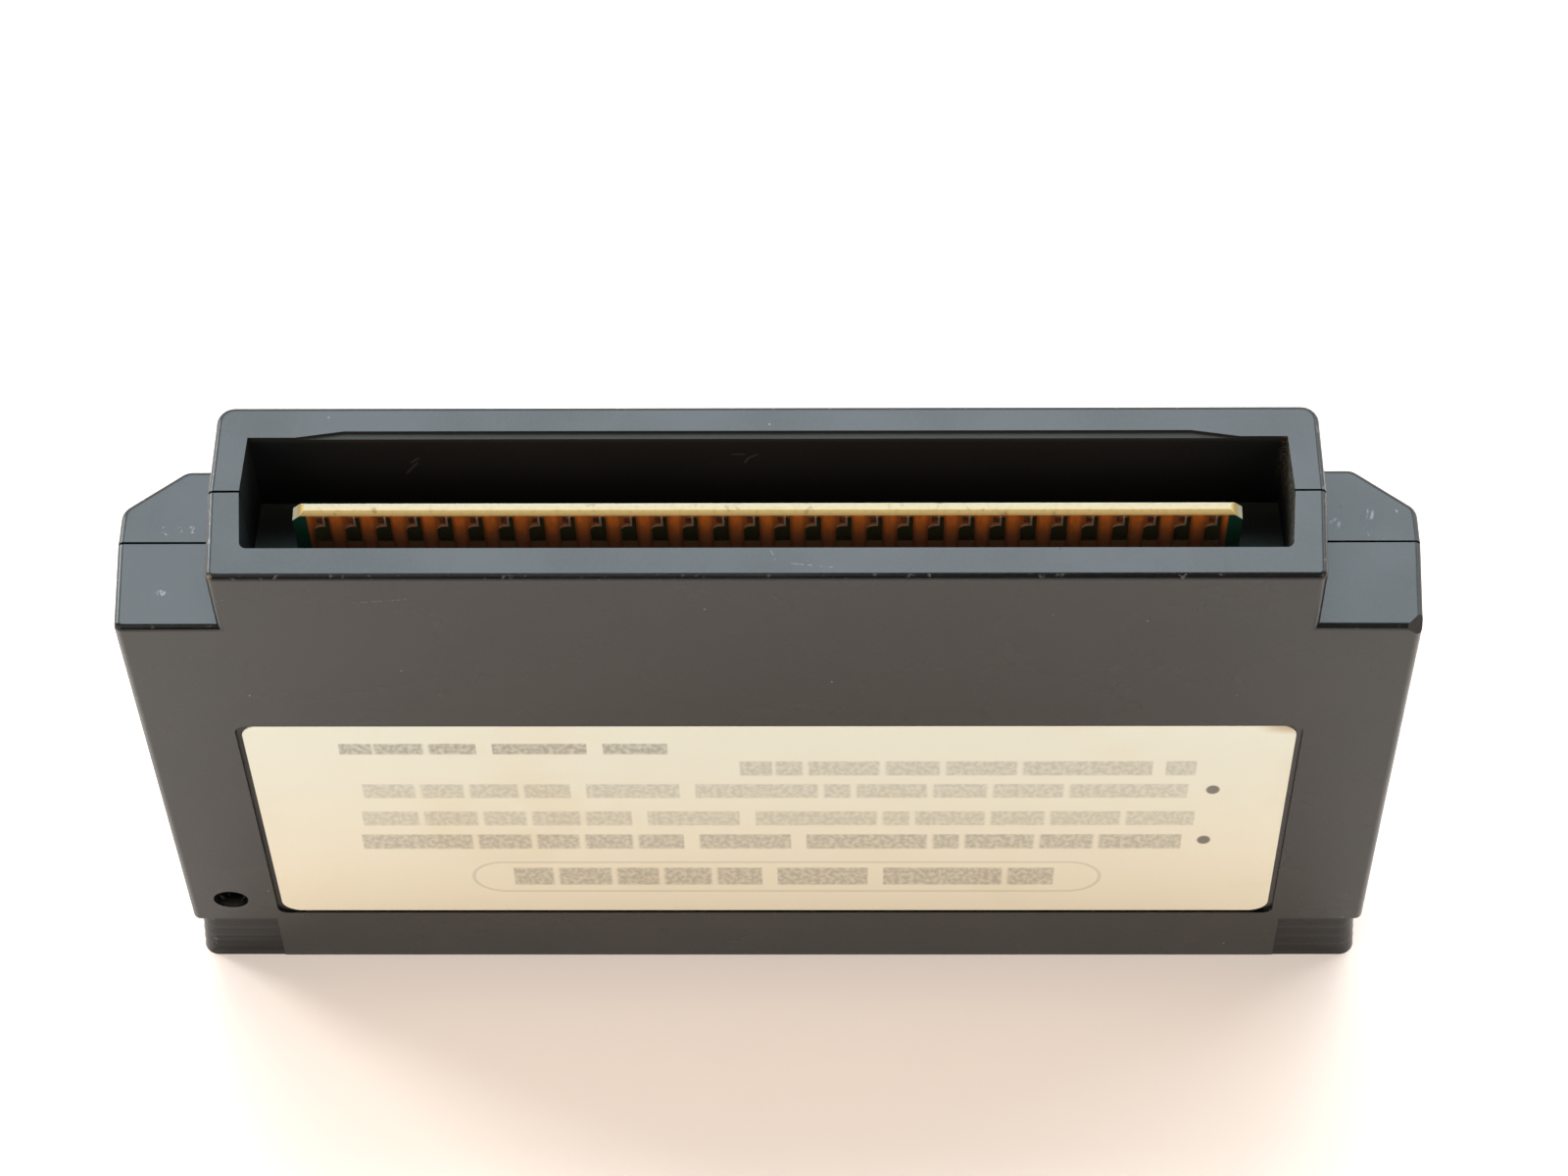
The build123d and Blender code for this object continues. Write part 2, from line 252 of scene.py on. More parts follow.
    def mix(self, factor, first, second):
        """A colour between two others."""
        node = self.add("ShaderNodeMix", data_type="RGBA")
        self.feed(node.inputs[0], factor)
        for number, value in zip(mix_inputs, (first, second)):
            self.feed(node.inputs[number], (*value, 1) if isinstance(value, tuple) else value)
        return node.outputs[mix_output]

    def tint(self, colour, mask, share, other):
        """A colour that goes towards another under a mask, by this share at most."""
        return self.mix(self.times(mask, share), colour, other)

    def attribute(self, name):
        """A number that is stored on the mesh."""
        return self.add("ShaderNodeAttribute", attribute_name=name).outputs["Fac"]

    def normal(self):
        """The three parts of the direction that the surface faces."""
        split = self.add("ShaderNodeSeparateXYZ")
        self.feed(split.inputs[0], self.add("ShaderNodeNewGeometry").outputs["Normal"])
        return split.outputs

    def bump(self, height, depth, strength):
        """Relief of this depth in millimetres, given by a height from 0 to 1."""
        node = self.add("ShaderNodeBump")
        node.inputs["Strength"].default_value = strength
        node.inputs["Distance"].default_value = depth * mm
        self.feed(node.inputs["Height"], height)
        self.set("Normal", node.outputs[0])


print("node helper ready")

# %% [markdown]
# ## Floor
# The cartridge stands on a white table. Its label side mirrors the table, so the table's warm white
# matters. The floor adds a little glow of its own for the camera and for mirror rays alone, so that
# it reads as white while the cartridge's soft shadow stays. It glows more further back, where the far
# and side rounds mirror it.

# %% Floor
floor_reach = 6.0
floor_drop = 0.02 * mm
floor_colour = (0.985, 0.85, 0.76)
floor_gloss = 0.1
glow_colour = (1.0, 0.92, 0.86)
floor_glow = 0.25
floor_glow_behind = 1.0
glow_rises_from = 30.0
glow_rises_to = 110.0
lit_rays = ("Is Camera Ray", "Is Glossy Ray", "Is Transmission Ray")

floor_mesh = bpy.data.meshes.new("floor")
corner_signs = ((-1, -1), (1, -1), (1, 1), (-1, 1))
corners = [(x * floor_reach, y * floor_reach, -floor_drop) for x, y in corner_signs]
floor_mesh.from_pydata(corners, [], [(0, 1, 2, 3)])
floor = bpy.data.objects.new("floor", floor_mesh)
bpy.context.scene.collection.objects.link(floor)

table = Finish("floor_white", roughness=0.9)
table.set("Base Color", (*floor_colour, 1))
table.set("Specular IOR Level", floor_gloss)
table.set("Emission Color", (*glow_colour, 1))
rays = table.add("ShaderNodeLightPath")
seen = table.join([rays.outputs[name] for name in lit_rays])
glow = table.ramp(table.y, glow_rises_from, glow_rises_to, floor_glow, floor_glow_behind)
table.set("Emission Strength", table.times(seen, glow))
floor_mesh.materials.append(table.material)
print("floor", 2 * floor_reach, "m wide")

# %% [markdown]
# ## Light
# A wide window behind the cartridge gives most of the light: the level tops mirror it and turn grey.
# A small bright window at the left and a dimmer one at the right draw the lines along the side edges.
# Two warm fills stand for the room in front, and light the label.

# %% Light
day_colour = (0.92, 0.98, 1.0)
fill_colour = (1.0, 0.93, 0.86)
fill_size = (0.90, 0.80)
light_distance = 1.2

# Name, azimuth and elevation in degrees, width and height in metres, brightness, colour
soft_lights = [
    ("back_window", 0, 61, (0.85, 0.60), 6.1, (0.86, 1.0, 1.08)),
    ("left_window", -60, 26, (0.30, 0.60), 13.0, day_colour),
    ("right_window", 56, 31, (0.40, 0.50), 3.3, day_colour),
    ("left_fill", -128, 32, fill_size, 2.3, fill_colour),
    ("right_fill", 128, 32, fill_size, 2.3, fill_colour),
]


def soft_light(name, azimuth, elevation, size, brightness, colour):
    """A soft light that faces the cartridge. Azimuth 0 is behind it (+Y), and 90 is to its right."""
    data = bpy.data.lights.new(name, "AREA")
    data.shape = "RECTANGLE"
    data.size, data.size_y = size
    data.energy = brightness * size[0] * size[1] * math.pi
    data.color = colour
    light = bpy.data.objects.new(name, data)
    around = math.radians(azimuth)
    above = math.radians(elevation)
    level = math.cos(above)
    direction = Vector((math.sin(around) * level, math.cos(around) * level, math.sin(above)))
    light.location = (cad_low + cad_high) / 2 + direction * light_distance
    light.rotation_mode = "QUATERNION"
    light.rotation_quaternion = direction.to_track_quat("Z", "Y")
    bpy.context.scene.collection.objects.link(light)


for settings in soft_lights:
    soft_light(*settings)

# %% [markdown]
# ## Room
# Black plastic shows what it mirrors, so the room counts as much as the lamps. Its back half is bright,
# so the far edges stay pale. In front it is pale at the horizon and dim above, so the rounds that face
# the camera stay dark. A world colour that depends on the direction alone gives this without walls.

# %% Room
horizon_colour = (0.95, 0.90, 0.86, 1)
overhead_colour = (0.07, 0.064, 0.06, 1)
behind_colour = (1.6, 1.8, 1.95, 1)
horizon_fades = (0.02, 0.20)
back_begins = (0.05, 0.50)

world = bpy.data.worlds.new("room")
world.use_nodes = True
bpy.context.scene.world = world
sky = world.node_tree
outward = sky.nodes.new("ShaderNodeSeparateXYZ")
sky.links.new(sky.nodes.new("ShaderNodeTexCoord").outputs["Generated"], outward.inputs[0])


def blended(axis, span, first, second):
    """Eases from one colour to another while the direction's part along an axis crosses a span."""
    ease = sky.nodes.new("ShaderNodeMapRange")
    ease.interpolation_type = "SMOOTHSTEP"
    ease.inputs["From Min"].default_value = span[0]
    ease.inputs["From Max"].default_value = span[1]
    sky.links.new(outward.outputs[axis], ease.inputs["Value"])
    mixed = sky.nodes.new("ShaderNodeMix")
    mixed.data_type = "RGBA"
    sky.links.new(ease.outputs[0], mixed.inputs[0])
    for number, colour in zip(mix_inputs, (first, second)):
        if isinstance(colour, bpy.types.NodeSocket):
            sky.links.new(colour, mixed.inputs[number])
        else:
            mixed.inputs[number].default_value = colour
    return mixed.outputs[mix_output]


in_front = blended("Z", horizon_fades, horizon_colour, overhead_colour)
room = blended("Y", back_begins, in_front, behind_colour)
sky.links.new(room, sky.nodes["Background"].inputs["Color"])
print("room with", len(sky.nodes), "nodes")

# %% [markdown]
# ## Case halves
# Both halves are moulded in the same black plastic. The solids already have their rounds, drafts,
# grips and slot, so each half is a copy of its solid. The copy has its triangles joined, keeps hard
# edges hard, and takes its normals from the largest faces, so that a narrow round shades as a round.
# Faces on the rounds are marked for wear, and faces inside the connector slot because they are duller.

# %% Case halves
hard_edge = math.radians(32)
same_corner = 0.0005 * mm
flat_tolerance = math.cos(math.radians(13))
bevel_direction = Vector((0.6, 0.8, 0))
main_directions = ((1, 0, 0), (-1, 0, 0), (0, 1, 0), (0, -1, 0), (0, 0, 1), (0, 0, -1))
flat_directions = [Vector(direction) for direction in main_directions]
flat_directions += [bevel_direction, Vector((-bevel_direction.x, bevel_direction.y, 0))]
slot_low = Vector((-43.6, -5.6, 59.3))
slot_high = Vector((43.6, 5.95, 69.98))
ledge_height = 69.0
ledge_share = 0.75
faces_up = 0.5
largest_face_weight = 100


def slot_share(face):
    """1 on the walls and the floor of the connector slot, less on its ledge, and 0 elsewhere."""
    centre = face.calc_center_median() / mm
    if not all(slot_low[axis] < centre[axis] < slot_high[axis] for axis in range(3)):
        return 0.0
    is_ledge = centre.z > ledge_height and face.normal.z > faces_up
    return ledge_share if is_ledge else 1.0


def joined_copy(node_name):
    """A solid's mesh with joined triangles, marked hard edges, and its rounds and slot noted."""
    work = bmesh.new()
    work.from_mesh(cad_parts[node_name].data)
    bmesh.ops.remove_doubles(work, verts=work.verts, dist=same_corner)
    for edge in work.edges:
        edge.smooth = len(edge.link_faces) == 2 and edge.calc_face_angle() < hard_edge
    on_round = work.faces.layers.float.new("on_round")
    in_slot = work.faces.layers.float.new("in_slot")
    for face in work.faces:
        face.smooth = True
        is_flat = any(face.normal.dot(direction) > flat_tolerance for direction in flat_directions)
        face[on_round] = 0.0 if is_flat else 1.0
        face[in_slot] = slot_share(face)
    mesh = bpy.data.meshes.new(node_name + "_copy")
    work.to_mesh(mesh)
    work.free()
    if "custom_normal" in mesh.attributes:
        mesh.attributes.remove(mesh.attributes["custom_normal"])
    return mesh


def settled_mesh(holder):
    """The plain mesh of an object after its modifiers. The object itself is removed."""
    depsgraph = bpy.context.evaluated_depsgraph_get()
    mesh = bpy.data.meshes.new_from_object(holder.evaluated_get(depsgraph))
    bpy.data.objects.remove(holder)
    return mesh


def with_face_normals(mesh):
    """The same mesh with normals that follow its largest faces."""
    holder = bpy.data.objects.new("normals", mesh)
    bpy.context.scene.collection.objects.link(holder)
    weighting = holder.modifiers.new("weighting", "WEIGHTED_NORMAL")
    weighting.keep_sharp = True
    weighting.weight = largest_face_weight
    return settled_mesh(holder)


shell_meshes = {}
for node_name in ("rear_shell", "front_shell"):
    shell_meshes[node_name] = with_face_normals(joined_copy(node_name))
print("case halves:", [len(mesh.polygons) for mesh in shell_meshes.values()], "faces")

# %% [markdown]
# ## Marks on the plastic
# Handling has left pale rub marks on the shoulders and a few fine scratches, and fibres of lint hang on
# the slot's far wall. They could be painted, but a place with a size, or two ends, says the same in a
# few numbers, and a mask can be drawn from it.

# %% Marks on the plastic
rub_marks = [
    ((-50.5, 1.1, 61.8), (0.55, 0.75, 0.5)),
    ((-49.2, 1.3, 61.8), (0.40, 0.45, 0.5)),
    ((-48.3, 1.2, 61.8), (0.70, 0.60, 0.5)),
    ((-46.6, 1.7, 61.8), (0.60, 0.50, 0.5)),
    ((47.3, 1.7, 61.8), (0.85, 0.80, 0.5)),
    ((50.3, 2.7, 61.8), (0.55, 1.00, 0.5)),
    ((50.1, 1.1, 61.8), (0.55, 1.10, 0.5)),
    ((52.5, 2.9, 61.8), (0.30, 0.30, 0.5)),
    ((-50.4, -4.9, 61.8), (0.70, 0.50, 0.5)),
]
scratches = [
    ((2.1, -6.95, 70.0), (5.5, -7.3, 70.0)),
    ((0.4, -5.7, 70.0), (0.9, -6.7, 70.0)),
    ((-33.8, -8.3, 66.0), (-29.4, -8.3, 66.6)),
    ((-29.0, -8.3, 64.0), (-28.2, -8.3, 63.8)),
    ((-45.2, -8.3, 66.3), (-44.4, -8.3, 66.5)),
]
lint = [
    ((-2.9, 5.2, 67.3), (-1.9, 5.2, 67.3)),
    ((-1.9, 5.2, 66.0), (-1.5, 5.2, 66.8)),
    ((-1.5, 5.2, 66.8), (-0.8, 5.2, 67.3)),
    ((-30.2, 5.2, 64.4), (-29.2, 5.2, 66.0)),
    ((-29.7, 5.2, 66.1), (-29.0, 5.2, 66.8)),
]
scratch_width = 0.14
lint_width = 0.22


def strokes(finish, ends, width):
    """Thin marks between pairs of places, as one mask."""
    return finish.join([finish.stroke(start, end, width) for start, end in ends])


print(len(rub_marks), "rub marks,", len(scratches), "scratches and", len(lint), "fibres")

# %% [markdown]
# ## Plastic in the slot
# In the slot the plastic is dull. Its floor has gathered pale dust, a thin film lies along the far
# wall's rim, and brown dust clings to the right end wall. The mark on the slot's faces, the place and
# the grain together tell where each of them lies.

# %% Plastic in the slot
slot_wall_colour = (0.0046, 0.0064, 0.0068)
slot_floor_colour = (0.050, 0.060, 0.055)
film_colour = (0.026, 0.024, 0.018)
end_dust_colour = (0.125, 0.102, 0.070)
lint_colour = (0.10, 0.11, 0.10)
film_heights = (69.0, 69.6)
far_wall = (4.9, 5.1)
right_end = (42.2, 42.9)
end_dust_heights = (60.0, 70.0)


def slot_tones(finish, colour, in_slot, slot_floor, grain):
    """The plastic's colour, dulled and dusted where it lies in the slot."""
    colour = finish.mix(in_slot, colour, slot_wall_colour)
    colour = finish.mix(slot_floor, colour, slot_floor_colour)
    at_rim = finish.ramp(finish.z, *film_heights)
    at_far_wall = finish.ramp(finish.y, *far_wall)
    colour = finish.tint(colour, finish.times(at_rim, at_far_wall, in_slot), 0.7, film_colour)
    at_end = finish.ramp(finish.x, *right_end)
    towards_rim = finish.ramp(finish.z, *end_dust_heights)
    clumps = finish.ramp(grain, 0.40, 0.62)
    colour = finish.mix(finish.times(at_end, towards_rim, in_slot, clumps), colour, end_dust_colour)
    return finish.tint(colour, strokes(finish, lint, lint_width), 0.6, lint_colour)


print("slot dust from", end_dust_heights[0], "to", end_dust_heights[1], "mm")

# %% [markdown]
# ## Worn plastic
# Outside, the rounds have tiny nicks, the shoulders are rubbed pale in spots, specks of dust lie all
# over, one corner of the neck is stained tan, and a painted highlight lies on the lower lip of the small
# hole. Each is a mask made from noise, specks, strokes or soft patches, and mixes a paler colour into
# the black.

# %% Worn plastic
hole_foot = (-50.2, -8.0, 10.2)
# The size of a painted highlight on the small hole's lower lip.
hole_highlight_size = (1.7, 0.9, 0.8)
stained_corner = (-45.3, -8.1, 69.8)
stain_size = (0.45, 0.45, 0.45)


def rub_mask(finish):
    """Pale streaky rubbing on the shoulders."""
    spots = finish.join([finish.patch(centre, size) for centre, size in rub_marks])
    streaks = finish.noise(0.24, detail=4, stretch=(1, 0.4, 1), shift=(3, 7, 1))
    return finish.times(finish.ramp(spots, 0.05, 0.6), finish.ramp(streaks, 0.48, 0.62))


def worn_tones(finish, colour, rubbed, in_slot, grain):
    """The plastic's colour with the marks of use on its outside, and a painted highlight on the small
    hole's lip.
    """
    # A painted highlight: the hole's lower lip is made paler, as if lit.
    colour = finish.tint(colour, finish.patch(hole_foot, hole_highlight_size), 0.45, (0.07, 0.066, 0.060))
    nick_noise = finish.noise(0.55, detail=3, shift=(11, 5, 2))
    nicks = finish.times(finish.attribute("on_round"), finish.ramp(nick_noise, 0.62, 0.72))
    colour = finish.tint(colour, nicks, 0.5, (0.16, 0.15, 0.135))
    colour = finish.tint(colour, rubbed, 0.55, (0.42, 0.43, 0.45))
    lines = strokes(finish, scratches, scratch_width)
    scratched = finish.times(lines, finish.ramp(grain, 0.42, 0.58))
    colour = finish.tint(colour, scratched, 0.30, (0.35, 0.35, 0.34))
    dust = finish.times(finish.specks(2.6, 0.10, 0.22), finish.minus(1.0, in_slot))
    colour = finish.tint(colour, dust, 0.5, (0.42, 0.41, 0.39))
    stain = finish.times(finish.patch(stained_corner, stain_size), finish.ramp(grain, 0.35, 0.6))
    return finish.mix(stain, colour, (0.24, 0.17, 0.10))


print("hole lip at", hole_foot, "and stained corner at", stained_corner, "mm")

# %% [markdown]
# ## Black plastic
# The plastic is nearly black and has a fine moulded grain. What shows are its reflections, so the
# roughness matters more than the colour: it wanders a little all over, and is higher in the slot, on the
# rubbed spots and beside the left half of the label. Bump adds the grain, small pits, and the soft lips
# of the grips' ridges.

# %% Black plastic
plastic_ior = 1.42
darkest_black = (0.0040, 0.0036, 0.0033)
palest_black = (0.0080, 0.0074, 0.0068)
shine_range = (0.25, 0.31)
slot_dullness = 0.33
mark_dullness = 0.25
recess_floor = -8.0
grip_start = 46.4
grip_top = 7.8
ridge_pitch = 1.56
relief_depth = 0.02


def recess_mask(finish):
    """The floor of the label's recess, on the left half."""
    behind_front = finish.ramp(finish.y, recess_floor - 0.12, recess_floor - 0.04)
    before_back = finish.fall(finish.y, recess_floor + 0.04, recess_floor + 0.12)
    return finish.times(behind_front, before_back, finish.fall(finish.x, 0.0, 20.0))


def moulded_relief(finish, grain):
    """The height of the plastic's grain, of its pits and of the grips' rounded lips."""
    fine = finish.noise(0.12, detail=2)
    at_corner = finish.ramp(finish.across(), grip_start - 0.1, grip_start)
    on_grip = finish.times(at_corner, finish.fall(finish.z, grip_top - 0.1, grip_top))
    up_the_ridge = finish.math("FRACT", finish.math("DIVIDE", finish.z, ridge_pitch))
    lips = finish.times(on_grip, finish.ramp(up_the_ridge, 0.0, 0.4), 4.0)
    relief = finish.plus(finish.times(grain, 0.6), finish.times(fine, 0.4), lips)
    return finish.minus(relief, finish.times(finish.specks(1.7, 0.08, 0.30), 1.5))


def black_plastic():
    """The plastic of the case, worn outside and dusty in the slot."""
    finish = Finish("black_plastic")
    finish.set("IOR", plastic_ior)
    grain = finish.noise(0.30, detail=3)
    in_slot = finish.attribute("in_slot")
    slot_floor = finish.times(in_slot, finish.ramp(finish.normal()[2], 0.5, 0.9))
    rubbed = rub_mask(finish)
    body = finish.mix(finish.ramp(grain, 0.3, 0.7), darkest_black, palest_black)
    colour = slot_tones(finish, body, in_slot, slot_floor, grain)
    finish.set("Base Color", worn_tones(finish, colour, rubbed, in_slot, grain))

    shine = finish.ramp(finish.noise(11.0, detail=3), 0.3, 0.7, *shine_range)
    dull_marks = finish.times(finish.join([rubbed, recess_mask(finish)]), mark_dullness)
    dull_slot = finish.times(finish.plus(in_slot, slot_floor), slot_dullness)
    finish.set("Roughness", finish.plus(shine, dull_marks, dull_slot))
    finish.bump(moulded_relief(finish, grain), relief_depth, 0.35)
    return finish.material


def add_piece(name, mesh, replaced):
    """A finished mesh as a piece of the cartridge, in place of some solids."""
    piece = bpy.data.objects.new(name, mesh)
    bpy.context.scene.collection.objects.link(piece)
    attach(piece, "root")
    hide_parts(*replaced)
    return piece


plastic = black_plastic()
for node_name, shell_mesh in shell_meshes.items():
    shell_mesh.materials.clear()
    shell_mesh.materials.append(plastic)
    half_name = node_name.replace("shell", "case_half")
    shell = add_piece(half_name, shell_mesh, [node_name])
    print(shell.name, "in", plastic.name)

# %% [markdown]
# ## Plain print
# The label's print is plain: a round-ended frame, two dots and rows of broken grey bars. Measuring the
# place on the label in the material draws them all, which needs no picture and keeps the paper one flat
# piece.

# %% Plain print
# Each row's height, the height of its bar, its two ends, and the weight of its ink
ink_rows = [
    (40.5, 1.9, -37.5, -9.0, 0.60),
    (36.9, 2.6, -2.8, 37.0, 0.38),
    (32.7, 2.6, -36.1, 36.5, 0.34),
    (27.5, 2.7, -36.6, 37.4, 0.34),
    (23.0, 2.8, -37.0, 36.5, 0.47),
    (16.1, 3.4, -23.8, 25.3, 0.50),
]
label_face = -8.1
ink_dots = [(38.7, 32.9), (38.5, 23.3)]
dot_size = (0.9, 5.0, 1.2)
dot_weight = 0.9
frame_middle = (1.0, 16.0)
frame_half = (28.5, 2.9)
frame_line = 0.16
frame_weight = 0.22


def round_ended_frame(finish):
    """The outline of a frame with half-round ends."""
    half_length, half_height = frame_half
    along = finish.gap(finish.x, frame_middle[0])
    past_straight = finish.math("MAXIMUM", finish.minus(along, half_length - half_height), 0.0)
    above = finish.minus(finish.z, frame_middle[1])
    squares = finish.plus(finish.math("POWER", past_straight, 2.0), finish.math("POWER", above, 2.0))
    from_outline = finish.minus(finish.math("SQRT", squares), half_height)
    return finish.times(finish.band(from_outline, 0.0, frame_line, 0.08), frame_weight)


def broken_bar(finish, row_height, bar_height, start, stop, weight):
    """One row of print: a plain grey bar with a few breaks, and none close to its ends."""
    middle = (start + stop) / 2
    half = (stop - start) / 2
    tall = finish.band(finish.z, row_height, bar_height / 2, 0.2)
    wide = finish.band(finish.x, middle, half, 0.1)
    from_end = finish.minus(half, finish.gap(finish.x, middle))
    breaks = finish.noise(2.4, detail=0, stretch=(1, 0, 0), shift=(row_height, 0, 0))
    unbroken = finish.plus(breaks, finish.ramp(from_end, 1.5, 3.0, 0.5, 0.0))
    return finish.times(tall, wide, finish.ramp(unbroken, 0.36, 0.40, 0.0, weight))


def print_mask(finish):
    """All the ink on the label: worn bars, dots and the frame."""
    worn = finish.noise(0.45, detail=2, stretch=(1, 1, 0.7), shift=(0, 0, 4))
    bars = finish.join([broken_bar(finish, *row) for row in ink_rows])
    printed = [finish.times(bars, finish.ramp(worn, 0.32, 0.66, 0.50, 1.0))]
    for dot_x, dot_z in ink_dots:
        dot = finish.patch((dot_x, label_face, dot_z), dot_size)
        printed.append(finish.ramp(dot, 0.10, 0.45, 0.0, dot_weight))
    printed.append(round_ended_frame(finish))
    return finish.join(printed)


print("print of", len(ink_rows), "rows and", len(ink_dots), "dots")

# %% [markdown]
# ## Paper label
# The sticker is aged cream paper with a satin coat. It turns yellower towards its lower edge and is
# painted paler there as well, painted light that makes up for the weaker light on its lower part. It is
# cloudy with stains, and browned at one upper corner. The solid is flat paper already, so it keeps its
# mesh, and only its material is new.

# %% Paper label
upper_paper = (0.775, 0.775, 0.655)
lower_paper = (0.88, 0.80, 0.62)
stained_paper = (0.76, 0.64, 0.44)
browned_paper = (0.42, 0.26, 0.11)
ink_colour = (0.10, 0.085, 0.065)
paper_top = 44.0
paper_foot = 10.0
browned_corner = (44.4, label_face, 44.4)
browned_size = (3.2, 2.0, 1.6)


def printed_paper():
    """The label's aged paper with its print."""
    finish = Finish("printed_paper")
    stain = finish.noise(13.0, detail=4, shift=(2, 0, 9))
    # Painted light: the paper is paler and yellower towards its foot, against the weaker light there.
    paper = finish.mix(finish.ramp(finish.z, paper_top, paper_foot), upper_paper, lower_paper)
    paper = finish.mix(finish.ramp(stain, 0.52, 0.75, 0.0, 0.30), paper, stained_paper)
    paper = finish.tint(paper, finish.patch(browned_corner, browned_size), 0.7, browned_paper)
    finish.set("Base Color", finish.mix(print_mask(finish), paper, ink_colour))
    finish.set("Roughness", finish.ramp(stain, 0.3, 0.7, 0.40, 0.55))
    finish.bump(finish.noise(0.35, detail=4, stretch=(1, 1, 1.6)), 0.012, 0.4)
    return finish.material


def dress(node_name, material):
    """Gives a solid that keeps its own mesh its finish."""
    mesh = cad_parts[node_name].data
    mesh.materials.clear()
    mesh.materials.append(material)


dress("rear_label", printed_paper())
print("label dressed in paper")

# %% [markdown]
# ## Printed board
# The board is brown resin-paper laminate. It is bare and orange between the plated fingers, with painted
# shade that darkens it lower down in the slot and close beside each finger, green with mask at the
# tongue's two ends and inside the case, and pale where it was cut and bevelled. The direction that a
# face looks tells a cut edge from a face, and the place tells bare laminate from mask.

# %% Printed board
contacts_low, contacts_high = (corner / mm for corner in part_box("rear_contacts"))
board_low, board_high = (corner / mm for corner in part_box("circuit_board"))
finger_count = 30
finger_width = 1.26
finger_pitch = (contacts_high.x - contacts_low.x - finger_width) / (finger_count - 1)
mask_edge = contacts_high.x + 0.55
# The heights over which the painted shade in the slot fades out, upwards.
laminate_shade_heights = (62.8, 67.2)
mask_green = (0.007, 0.070, 0.038)


def bare_laminate_shaded(finish, weave):
    """The orange laminate between the fingers, with painted shade lower down in the slot and close
    beside each finger.
    """
    # Painted shade: the laminate darkens lower down in the slot.
    upwards = finish.ramp(finish.z, *laminate_shade_heights)
    brown = finish.mix(upwards, (0.38, 0.115, 0.044), (0.96, 0.225, 0.024))
    brown = finish.mix(finish.ramp(weave, 0.35, 0.65, 0.0, 0.35), brown, (0.30, 0.09, 0.02))
    from_first = finish.minus(finish.x, contacts_low.x + finger_width / 2)
    from_finger = finish.math("PINGPONG", from_first, finger_pitch / 2)
    # Painted shade close beside each finger.
    shade_beside = finish.ramp(from_finger, 0.60, 1.05, 0.55, 0.0)
    return finish.mix(shade_beside, brown, (0.15, 0.042, 0.014))


def cut_edge(finish, weave, facing):
    """The pale sawn top of the tongue with its bevels, grimy in spots."""
    up_the_bevel = finish.ramp(finish.z, contacts_high.z, board_high.z)
    bevel = finish.mix(up_the_bevel, (0.42, 0.235, 0.07), (0.80, 0.57, 0.21))
    to_front = finish.ramp(finish.y, board_low.y, board_high.y)
    top = finish.mix(to_front, (0.53, 0.405, 0.20), (0.49, 0.415, 0.275))
    cut = finish.mix(finish.ramp(facing[2], 0.85, 0.97), bevel, top)
    cut = finish.mix(finish.ramp(facing[1], 0.2, 0.4), cut, (0.58, 0.51, 0.36))
    bare_end = finish.ramp(finish.across(), mask_edge + 0.4, mask_edge + 1.1)
    cut = finish.tint(cut, bare_end, 0.7, (0.55, 0.56, 0.42))
    cut = finish.mix(finish.ramp(weave, 0.45, 0.75, 0.0, 0.35), cut, (0.40, 0.27, 0.11))
    grime = finish.noise(1.1, detail=4, shift=(4, 1, 0))
    return finish.mix(finish.ramp(grime, 0.62, 0.76, 0.0, 0.6), cut, (0.20, 0.11, 0.04))


def laminate():
    """The board: bare laminate, green mask and pale cut edges."""
    finish = Finish("board_laminate", roughness=0.5)
    weave = finish.noise(0.5, detail=4, stretch=(1, 1, 0.4))
    facing = finish.normal()
    past_fingers = finish.ramp(finish.across(), mask_edge - 0.1, mask_edge + 0.1)
    below_fingers = finish.fall(finish.z, contacts_low.z - 0.5, contacts_low.z)
    masked = finish.join([past_fingers, below_fingers])
    face = finish.mix(masked, bare_laminate_shaded(finish, weave), mask_green)
    is_face = finish.ramp(finish.math("ABSOLUTE", facing[1]), 0.90, 0.97)
    finish.set("Base Color", finish.mix(is_face, cut_edge(finish, weave, facing), face))
    finish.bump(weave, 0.02, 0.4)
    return finish.material


dress("circuit_board", laminate())
print("mask starts", round(mask_edge, 2), "mm from the middle")

# %% [markdown]
# ## Row of repeats
# Thirty gold fingers stand on each face of the tongue at a pitch of 2.54 mm. One finger is drawn, and
# Geometry Nodes repeat it along the row, because a tree with a count and a pitch is easier to change
# than sixty placed copies.

# %% Row of repeats
def socket(tree, name, kind, way="INPUT"):
    """A named input or output of a node tree."""
    return tree.interface.new_socket(name=name, in_out=way, socket_type=kind)


